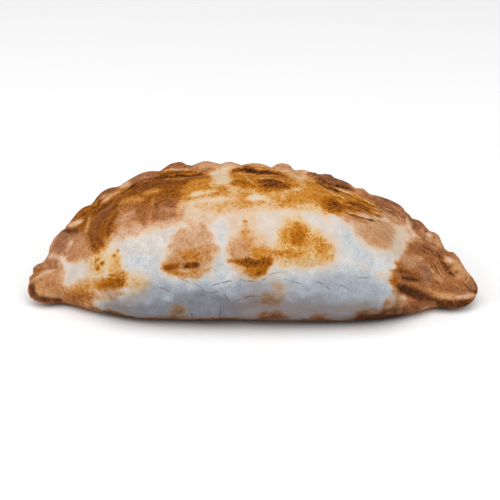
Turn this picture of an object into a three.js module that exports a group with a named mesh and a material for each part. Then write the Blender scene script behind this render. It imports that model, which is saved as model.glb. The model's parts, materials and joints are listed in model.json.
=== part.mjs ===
// A baked empanada: a disc of dough folded over its filling into a half moon and sealed round the
// curved side by a rim of hand-made, twisted folds. It lies on the side that met the oven tray,
// with the plump belly of the fold to the front (-Y) and the rim running round the back.
// Millimetres, +Z up, +X along the length, origin under the middle of the pastry.

import * as THREE from "three";
import { mergeVertices } from "three/addons/utils/BufferGeometryUtils.js";

// Overall sizes. Depths are measured from the line that joins the two tips.
const LENGTH = 140; // tip to tip
const HEIGHT = 37.5; // tray to the top of the dome
const BELLY_FRONT = 23.5; // how far the belly bulges ahead of the tips
const RIM_BACK = 47; // how far the rim's outer edge runs behind the tips
const RIM_PEAK = -10; // where along X the rim runs deepest: the fold isn't quite even

// How each form falls away towards the tips, as 1 - |x / reach| ^ spread, to the power of rise
const RIM_FALL = {
  left: { reach: 60, spread: 2.35, rise: 0.67 },
  right: { reach: 80, spread: 2.1, rise: 0.69 },
};
const DOME_FALL = {
  left: { reach: 63, spread: 3.8, rise: 1 },
  right: { reach: 54, spread: 4, rise: 1.6 },
};
const BELLY_FALL = {
  left: { reach: 59, spread: 4, rise: 1.5 },
  right: { reach: 56, spread: 4.6, rise: 1.5 },
};

// The rim: two layers of dough pressed flat and folded over, one fold at a time
const RIM_WIDTH = 10; // root to outer edge
const RIM_THICKNESS = 6.5;
const RIM_SHARE = 0.5; // most of a slice's depth that the rim takes up near the tips
const RIM_HEIGHT = 27.5; // outer edge above the tray, at the back
const TIP_HEIGHT = 5; // outer edge above the tray, at the tips
const ROOT_ANGLE = THREE.MathUtils.degToRad(150); // where the rim's section meets the body
const FOLD_LENGTHS = [16, 12, 11, 12, 14, 12, 8, 6, 11, 8, 6, 15, 5, 17, 5, 10, 8, 12]; // left to right
const FOLD_DEPTH = 0.36; // crease depth, as a share of the rim's half section
const FOLD_ROUND = 0.8; // power of a fold's rounded back: less is flatter, with a sharper crease
const FOLD_FADE = 0.6; // share of the way to the root where the creases start to fade
const FOLD_SLANT = 1.7; // how far a crease runs along the rim in one turn round it, in folds
const UPRIGHT_FOLDS = 3; // folds at each tip over which the slant dies out
const PUCKER_DEPTH = 0.35; // how deep each crease pulls in the dough beside the rim
const PUCKER_REACH = 0.15; // how far a pucker runs, as a share of the way round the body

// The tips, where the rim closes on the fold in a flat tucked flap
const TIP_FLAP = { left: 7, right: 9.5 }; // how far each flap reaches ahead of the tips' line
const TIP_LIFT = 0.8; // the flap's gap above the tray
const TIP_ROUND = { spread: 18, rise: 0.5 }; // the curve that rounds a tip off
const TUCK_DEPTH = 1.2; // the groove between a flap and the belly
const TUCK_WIDTH = 5;

// The body
const DOME_TOP = 0.5; // where the dome is highest, from the front to the rim's root
const TIP_TOP = 0.36; // the same at the tips, where the dome runs out
const BELLY_WAIST = 0.42; // height of the belly's foremost line, as a share of the dome
const SOLE_FRONT = 0.22; // where the flat sole starts and ends, from the front to the root
const SOLE_BACK = 0.72;
const SOLE_SHARE = 0.55; // share of the half length that lies flat on the tray
const ROUNDNESS = 0.58; // handle length of the body's curves: 0.55 is round, more is fuller
const VALLEY = 0.35; // handle length of the hollow between the rim and the dome
const TIP_VALLEY = 0.1; // the same at the tips, where the dome slopes straight into the rim
const LUMP_HEIGHT = 0.5; // the filling's soft lumps under the dough
const LUMP_LENGTH = 60;
const LUMPS_ROUND = 1.5; // lumps in one way round the body

// Faces
const STEPS_PER_FOLD = 6;
const STEPS = { slope: 7, brow: 8, belly: 7, sole: 4, back: 5, rope: 16 };
const AROUND = Object.values(STEPS).reduce((sum, n) => sum + n, 0);
const BODY_STEPS = AROUND - STEPS.rope;

const HALF = LENGTH / 2;
const TAU = 2 * Math.PI;
const { lerp, clamp, smoothstep } = THREE.MathUtils;

// A hump that is 1 at t = 0 and falls to 0 at t = -1 and 1.
const hump = (t, { spread, rise }) => Math.max(0, 1 - Math.abs(t) ** spread) ** rise;

// How much of a form is left at x, from 1 at its peak to 0 at its reach on either side.
function fall(x, peak, sides) {
  const side = x < peak ? sides.left : sides.right;
  return hump((x - peak) / side.reach, side);
}

// The rim's run from tip to tip: 0 at the tips and 1 where it lies deepest.
const rimRun = (x) => fall(x, RIM_PEAK, RIM_FALL);

// The seam, where the two layers of dough meet, lies in a plane that rises to the back.
const SEAM_TILT = Math.atan2(RIM_HEIGHT - TIP_HEIGHT, RIM_BACK);
const seamOut = new THREE.Vector2(Math.cos(SEAM_TILT), Math.sin(SEAM_TILT));
const seamUp = new THREE.Vector2(-seamOut.y, seamOut.x);
const seamHeight = (y) => TIP_HEIGHT + Math.tan(SEAM_TILT) * Math.max(y, 0);

// The rim's outer edge as a curve, so that folds can be spaced along its true length.
class RimEdge extends THREE.Curve {
  getPoint(t, target = new THREE.Vector3()) {
    const x = -HALF * Math.cos(Math.PI * t);
    const y = RIM_BACK * rimRun(x);
    return target.set(x, y, seamHeight(y));
  }
}
const rimEdge = new RimEdge();
rimEdge.arcLengthDivisions = 800;

// Share of the rim's length at a count of folds from the left tip. No two folds are alike.
const FOLDS = FOLD_LENGTHS.length;
const foldEnds = [0];
FOLD_LENGTHS.forEach((length, fold) => foldEnds.push(foldEnds[fold] + length));
function foldPlace(count) {
  const fold = clamp(Math.floor(count), 0, FOLDS - 1);
  const reached = lerp(foldEnds[fold], foldEnds[fold + 1], count - fold);
  return clamp(reached / foldEnds[FOLDS], 0, 1);
}

// The curves of one slice of the pastry across X, in (y, z): from the rim's upper root up to the
// dome's top, down the brow and the belly, along the sole and up the back to the rim's lower root.
function slice(x) {
  const dome = fall(x, 0, DOME_FALL);
  const bulge = fall(x, 0, BELLY_FALL);
  const side = x < 0 ? "left" : "right";
  const fromTuck = (Math.abs(x) - BELLY_FALL[side].reach) / TUCK_WIDTH;
  const tuck = TUCK_DEPTH * hump(fromTuck, { spread: 2, rise: 2 });
  const front = tuck - lerp(TIP_FLAP[side], BELLY_FRONT, bulge);
  const edge = RIM_BACK * rimRun(x);

  // The rim is cut slantwise where it turns towards a tip, so its slice is wider there.
  const step = 0.5;
  const turn = (RIM_BACK * (rimRun(x + step) - rimRun(x - step))) / (2 * step * seamOut.x);
  const room = (RIM_SHARE * (edge - front)) / seamOut.x;
  const halfWidth = Math.min(RIM_WIDTH * Math.hypot(1, turn), room) / 2;
  const halfThick = RIM_THICKNESS / 2;
  const middle = new THREE.Vector2(edge, seamHeight(edge)).addScaledVector(seamOut, -halfWidth);
  const onRope = (angle, relief = 1) =>
    middle
      .clone()
      .addScaledVector(seamOut, halfWidth * relief * Math.cos(angle))
      .addScaledVector(seamUp, halfThick * relief * Math.sin(angle));

  const upperRoot = onRope(ROOT_ANGLE);
  const lowerRoot = onRope(-ROOT_ANGLE);
  const span = upperRoot.x - front;
  const sole = TIP_LIFT * smoothstep(Math.abs(x) / HALF, SOLE_SHARE, 1);
  const crown = front + lerp(TIP_TOP, DOME_TOP, dome) * span;
  const height = lerp(seamHeight(crown) + halfThick, HEIGHT, dome);

  const top = new THREE.Vector2(crown, height);
  const nose = new THREE.Vector2(front, lerp(sole, height, BELLY_WAIST));
  const soleFront = new THREE.Vector2(front + SOLE_FRONT * span, sole);
  const soleBack = new THREE.Vector2(front + SOLE_BACK * span, sole);

  const curve = (from, fromHandle, to, toHandle) =>
    new THREE.CubicBezierCurve(
      from,
      from.clone().add(new THREE.Vector2(...fromHandle)),
      to.clone().add(new THREE.Vector2(...toHandle)),
      to,
    );
  const slopeRun = upperRoot.x - top.x;
  const valley = lerp(TIP_VALLEY, VALLEY, dome);
  const shoulder = lerp(TIP_VALLEY, ROUNDNESS, dome);
  const backRun = lowerRoot.x - soleBack.x;
  return {
    onRope,
    slope: curve(upperRoot, [-valley * slopeRun, 0], top, [shoulder * slopeRun, 0]),
    brow: curve(
      top,
      [-ROUNDNESS * (top.x - front), 0],
      nose,
      [0, ROUNDNESS * (height - nose.y)],
    ),
    belly: curve(
      nose,
      [0, -ROUNDNESS * (nose.y - sole)],
      soleFront,
      [-ROUNDNESS * (soleFront.x - front), 0],
    ),
    sole: new THREE.LineCurve(soleFront, soleBack),
    back: curve(
      soleBack,
      [ROUNDNESS * backRun, 0],
      lowerRoot,
      [0, -ROUNDNESS * (lowerRoot.y - sole)],
    ),
  };
}

// How deep a crease is at a count of folds: 1 between two folds and 0 on a fold's rounded back.
const crease = (fold) => 1 - Math.abs(Math.sin(Math.PI * fold)) ** FOLD_ROUND;

// How far the rim's section stands out, with creases that fade towards its root.
function foldRelief(fold, angle) {
  const fade = 1 - smoothstep(Math.abs(angle), FOLD_FADE * ROOT_ANGLE, ROOT_ANGLE);
  return 1 - FOLD_DEPTH * crease(fold) * fade;
}

// The puckers that the creases pull into the dough, above and below the rim.
function pucker(fold, turn) {
  const near = Math.min(turn, 1 - turn) / PUCKER_REACH;
  const depth = PUCKER_DEPTH * crease(fold) * Math.sin(Math.PI * Math.min(near, 1));
  return turn < 0.5 ? -depth : depth;
}

// The filling's lumps, felt through the dough over the dome and the belly.
function lump(x, turn) {
  const along = (TAU * x) / LUMP_LENGTH;
  const round = TAU * LUMPS_ROUND * turn;
  const broad = Math.sin(along) * Math.sin(round);
  const small = Math.sin(2 * along + round) * Math.sin(2 * round + along);
  return LUMP_HEIGHT * (broad + small / 2) * Math.sin(Math.PI * turn);
}

// One point of the body's curves, with its puckers and lumps.
function bodyPoint(cut, x, fold, column) {
  let left = column;
  const names = ["slope", "brow", "belly", "sole", "back"];
  let name = names.shift();
  while (left >= STEPS[name] && names.length) {
    left -= STEPS[name];
    name = names.shift();
  }
  const point = cut[name].getPoint(left / STEPS[name]);
  if (name !== "sole") {
    const turn = column / BODY_STEPS;
    const ends = hump(x / HALF, { spread: 6, rise: 1 });
    point.y = Math.max(point.y + ends * (lump(x, turn) + pucker(fold, turn)), 0);
  }
  return point;
}

// One point of the skin. Row counts steps along the rim from the left tip, column counts steps
// round the slice. Rows lean with the creases, so that every crease lies along a line of points.
function skinPoint(row, column) {
  const fold = row / STEPS_PER_FOLD;
  const onRope = column >= BODY_STEPS;
  const angle = onRope
    ? lerp(-ROOT_ANGLE, ROOT_ANGLE, (column - BODY_STEPS) / STEPS.rope)
    : lerp(ROOT_ANGLE, -ROOT_ANGLE, column / BODY_STEPS);
  const slant =
    FOLD_SLANT * smoothstep(fold, 0, UPRIGHT_FOLDS) * smoothstep(FOLDS - fold, 0, UPRIGHT_FOLDS);
  const x = rimEdge.getPointAt(foldPlace(fold + (slant * angle) / TAU)).x;
  const cut = slice(x);
  const point = onRope
    ? cut.onRope(angle, foldRelief(fold, angle))
    : bodyPoint(cut, x, fold, column);

  // Each tip is rounded off towards the middle of its flap.
  const round = hump(x / HALF, TIP_ROUND);
  return new THREE.Vector3(x, point.x * round, lerp(TIP_HEIGHT, point.y, round));
}

// The skin is a sphere's net, with its poles at the tips, drawn over the slices.
function pastry() {
  const rows = FOLDS * STEPS_PER_FOLD;
  const net = new THREE.SphereGeometry(1, AROUND, rows);
  const position = net.getAttribute("position");
  for (let row = 0; row <= rows; row++) {
    for (let column = 0; column <= AROUND; column++) {
      const point = skinPoint(row, (AROUND - column) % AROUND);
      position.setXYZ(row * (AROUND + 1) + column, point.x, point.y, point.z);
    }
  }
  net.deleteAttribute("normal");
  net.deleteAttribute("uv");
  const skin = mergeVertices(net);
  skin.computeBoundingBox();
  const { min, max } = skin.boundingBox;
  skin.translate(-(min.x + max.x) / 2, -(min.y + max.y) / 2, -min.z);
  skin.computeVertexNormals();
  return skin;
}

const bakedDough = new THREE.MeshStandardMaterial({
  name: "baked_dough",
  color: 0xc89a6a,
  roughness: 0.7,
  metalness: 0,
});

const empanada = new THREE.Mesh(pastry(), bakedDough);
empanada.name = "empanada";

const part = new THREE.Group();
part.add(empanada);

export default part;
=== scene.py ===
import json
import math
from collections import namedtuple

import bpy
import numpy as np
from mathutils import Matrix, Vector, noise
from mathutils.bvhtree import BVHTree
from mathutils.kdtree import KDTree

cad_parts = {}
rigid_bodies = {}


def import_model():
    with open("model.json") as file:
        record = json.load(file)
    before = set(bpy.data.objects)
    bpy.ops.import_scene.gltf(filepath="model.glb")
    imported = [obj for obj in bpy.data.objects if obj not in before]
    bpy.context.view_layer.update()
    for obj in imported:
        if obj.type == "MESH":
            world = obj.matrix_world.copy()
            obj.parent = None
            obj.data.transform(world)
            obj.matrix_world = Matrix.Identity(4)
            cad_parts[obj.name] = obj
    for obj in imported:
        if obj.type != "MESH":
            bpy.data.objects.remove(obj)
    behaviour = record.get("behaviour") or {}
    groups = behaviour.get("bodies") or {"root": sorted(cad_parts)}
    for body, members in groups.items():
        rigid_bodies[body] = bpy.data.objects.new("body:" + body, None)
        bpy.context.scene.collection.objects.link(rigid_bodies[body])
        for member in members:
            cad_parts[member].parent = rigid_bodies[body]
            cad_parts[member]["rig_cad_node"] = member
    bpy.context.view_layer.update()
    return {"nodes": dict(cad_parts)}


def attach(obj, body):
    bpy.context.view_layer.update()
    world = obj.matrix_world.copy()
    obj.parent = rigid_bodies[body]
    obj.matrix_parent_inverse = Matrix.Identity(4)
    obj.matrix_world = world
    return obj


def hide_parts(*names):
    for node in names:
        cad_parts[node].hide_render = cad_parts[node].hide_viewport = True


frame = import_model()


# The view: the pastry lies on a table with its belly to the front, and is seen from a little above.
# It comes first, because the marks of the oven are placed on the crust as they are seen from here.
ELEVATION = math.radians(25)
DISTANCE = 0.52
LENS = 119.5
SENSOR = 36
NEAREST = 0.01
AIM = Vector((-0.0008, -0.0015, 0.0127))
PICTURE = 500  # the picture is square, in pixels
PIXEL = DISTANCE * SENSOR / LENS / PICTURE  # what a pixel spans at the pastry

view_right = Vector((1, 0, 0))
view_up = Vector((0, math.sin(ELEVATION), math.cos(ELEVATION)))
view_back = view_right.cross(view_up)

bpy.ops.object.select_all(action="DESELECT")
bpy.ops.object.camera_add(location=AIM + view_back * DISTANCE)
camera = bpy.context.active_object
camera.name = "view"
camera.rotation_euler = view_back.to_track_quat("Z", "Y").to_euler()
camera.data.lens = LENS
camera.data.sensor_width = SENSOR
camera.data.clip_start = NEAREST
bpy.context.scene.camera = camera


# The crust: one disc of wheat dough, folded over its filling and sealed by a rim of twisted folds.
# The skin of the solid is taken over and rounded, as dough swells and sets in the oven.
MERGE = 1e-6
SKIN_LEVELS = 2
ROUGH_GRAIN = 0.0009

bpy.ops.object.select_all(action="DESELECT")
solid = frame["nodes"]["empanada"]
solid.select_set(True)
bpy.context.view_layer.objects.active = solid
bpy.ops.object.duplicate()
crust = bpy.context.active_object
crust.name = crust.data.name = "crust"
del crust["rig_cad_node"]
bpy.ops.mesh.customdata_custom_splitnormals_clear()
bpy.ops.object.mode_set(mode="EDIT")
bpy.ops.mesh.select_all(action="SELECT")
bpy.ops.mesh.remove_doubles(threshold=MERGE)
bpy.ops.mesh.tris_convert_to_quads(face_threshold=math.pi, shape_threshold=math.pi)
bpy.ops.object.mode_set(mode="OBJECT")
bpy.ops.object.shade_smooth()


def apply_modifier(piece, kind, **settings):
    """Adds a modifier to the active piece and applies it."""
    bpy.ops.object.modifier_add(type=kind)
    modifier = piece.modifiers[-1]
    for name, value in settings.items():
        setattr(modifier, name, value)
    bpy.ops.object.modifier_apply(modifier=modifier.name)


apply_modifier(crust, "SUBSURF", levels=SKIN_LEVELS, render_levels=SKIN_LEVELS)
apply_modifier(crust, "REMESH", mode="VOXEL", voxel_size=ROUGH_GRAIN, use_smooth_shade=True)


# The rim's own measure: each point of the crust knows how far along the rim it lies and how far
# from the rim's outer edge, so that streaks and browning can follow the fold.
EDGE_STEP = 0.001


def skin_points():
    """The place of each point of the crust."""
    flat = np.empty(len(crust.data.vertices) * 3)
    crust.data.vertices.foreach_get("co", flat)
    return flat.reshape(-1, 3)


points = skin_points()
stations = np.round(points[:, 0] / EDGE_STEP).astype(int)
edge = []
for station in range(stations.min(), stations.max() + 1):
    section = points[stations == station]
    if len(section):
        edge.append(section[section[:, 1].argmax()])
edge = np.array(edge)
along = np.concatenate([[0], np.cumsum(np.linalg.norm(np.diff(edge, axis=0), axis=1))])
edge_tree = KDTree(len(edge))
for index, corner in enumerate(edge):
    edge_tree.insert(corner, index)
edge_tree.balance()


def from_rim(points):
    """How far each point lies along the rim, and how far from its outer edge."""
    measured = np.zeros_like(points)
    for index, point in enumerate(points):
        station, away = edge_tree.find(point)[1:]
        measured[index] = along[station], away, 0
    return measured


# The shoulders: near the two tips the dough of the dome runs out into the rim without a valley, and
# the whole skin is a little lumpy from the filling under it. Each span, in millimetres, runs from
# where the smoothing or the lumps start to where they are whole.
METRE = 1000  # millimetres
SHOULDER_FROM_RIM = 2.5, 5.5
SHOULDER_ON_DOME = 32, 24
SHOULDER_ABOVE_TRAY = 3, 7
SHOULDER_FROM_MIDDLE = 12, 28
SHOULDER_ROUNDS = 430
SHOULDER_EASE = 0.9
LUMPS_ABOVE_TRAY = 0.5, 4.5
FINE_GRAIN = 0.00056
LEAST_WEIGHT = 0.01


def ease(share):
    """A smooth step from 0 to 1."""
    share = np.clip(share, 0, 1)
    return share * share * (3 - 2 * share)


def rise(values, start, end):
    """A smooth step from 0 at start to 1 at end."""
    return ease((values - start) / (end - start))


def weigh(name, weights):
    """A vertex group of the crust, with a weight for each point."""
    group = crust.vertex_groups.new(name=name)
    for index in np.flatnonzero(weights > LEAST_WEIGHT):
        group.add([int(index)], float(weights[index]), "REPLACE")


def lumpy(name, size, height):
    """Raises and lowers the skin in soft lumps, all but the sole."""
    lumps = bpy.data.textures.new(name, "CLOUDS")
    lumps.noise_scale = size
    apply_modifier(crust, "DISPLACE", texture=lumps, texture_coords="LOCAL", strength=height,
                   mid_level=0.5, vertex_group="skin")


away = from_rim(points)[:, 1] * METRE
shoulder = rise(away, *SHOULDER_FROM_RIM) * rise(away, *SHOULDER_ON_DOME)
shoulder *= rise(points[:, 2] * METRE, *SHOULDER_ABOVE_TRAY)
shoulder *= rise(np.abs(points[:, 0]) * METRE, *SHOULDER_FROM_MIDDLE)
weigh("shoulder", shoulder)
apply_modifier(crust, "SMOOTH", factor=SHOULDER_EASE, iterations=SHOULDER_ROUNDS, vertex_group="shoulder")
apply_modifier(crust, "REMESH", mode="VOXEL", voxel_size=FINE_GRAIN, use_smooth_shade=True)
crust.vertex_groups.clear()

points = skin_points()
rim_place = from_rim(points)
attribute = crust.data.attributes.new("rim_place", "FLOAT_VECTOR", "POINT")
attribute.data.foreach_set("vector", rim_place.ravel())
weigh("skin", rise(points[:, 2] * METRE, *LUMPS_ABOVE_TRAY))
lumpy("broad_lumps", size=0.014, height=0.0012)
lumpy("fine_lumps", size=0.0045, height=0.0004)


# The marks of the oven: the skin toasts where it stands out, and stays pale where it lies low. A few
# strokes are painted light instead: shadows under folds and flaps and in the valley behind the dome,
# shade in the creases, and a glint on the right tip.
# They are laid on one after the other, as strokes and patches at the places where they are seen.
# Places, half widths and soft edges are in pixels of the picture; a stroke without a width is the
# outline of a patch. Toast runs from bare dough to black, gold from a pink tan to golden brown.
# A wash cools the bare dough or greys it with painted shade, and a press raises or lowers the skin.
Stroke = namedtuple("Stroke", "path wide soft toast gold")
Wash = namedtuple("Wash", "path wide soft strength")
Press = namedtuple("Press", "path wide soft height")
OVAL_STEPS = 16


def oval(x, y, wide, tall, turn=0):
    """The outline of a round patch, its turn in degrees against the clock."""
    lean = math.radians(turn)
    path = []
    for step in range(OVAL_STEPS):
        angle = step * math.tau / OVAL_STEPS
        aside = wide * math.cos(angle)
        above = tall * math.sin(angle)
        path.append((
            x + aside * math.cos(lean) - above * math.sin(lean),
            y - aside * math.sin(lean) - above * math.cos(lean),
        ))
    return path


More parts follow.
